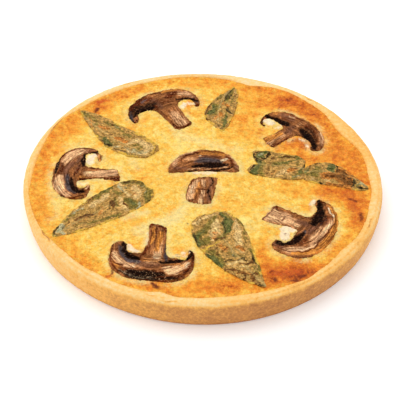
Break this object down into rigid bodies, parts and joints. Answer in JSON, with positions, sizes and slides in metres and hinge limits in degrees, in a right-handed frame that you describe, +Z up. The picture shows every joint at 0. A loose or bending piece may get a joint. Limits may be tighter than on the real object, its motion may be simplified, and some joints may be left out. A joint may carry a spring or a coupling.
{
  "type": "quiche",
  "caption": "Round savoury quiche: straight-sided shortcrust shell, egg custard filling, sliced roasted mushrooms and whole green leaves baked into the top.",
  "frame": {"origin": "middle of the flat underside", "axes": "+Z up, +Y towards the back of the quiche as it is served, +X to its right"},
  "size_m": [0.2376, 0.2367, 0.0194],
  "materials": {
    "pastry": "baked shortcrust, matt, pale on the lip and golden brown on the wall",
    "custard": "set egg custard, faintly glossy, browned in patches",
    "mushroom": "roasted mushroom, tan flesh with dark gills and skin",
    "leaf": "baked green leaf, partly filmed with custard"
  },
  "bodies": {
    "root": {"crust": "pastry", "custard": "custard", "mushroom_back_left": "mushroom", "mushroom_back_right": "mushroom", "mushroom_left": "mushroom", "mushroom_front": "mushroom", "mushroom_right": "mushroom", "mushroom_centre_cap": "mushroom", "mushroom_centre_stem": "mushroom", "leaf_back_left": "leaf", "leaf_back": "leaf", "leaf_right_inner": "leaf", "leaf_right_outer": "leaf", "leaf_left": "leaf", "leaf_front": "leaf"}
  },
  "joints": []
}
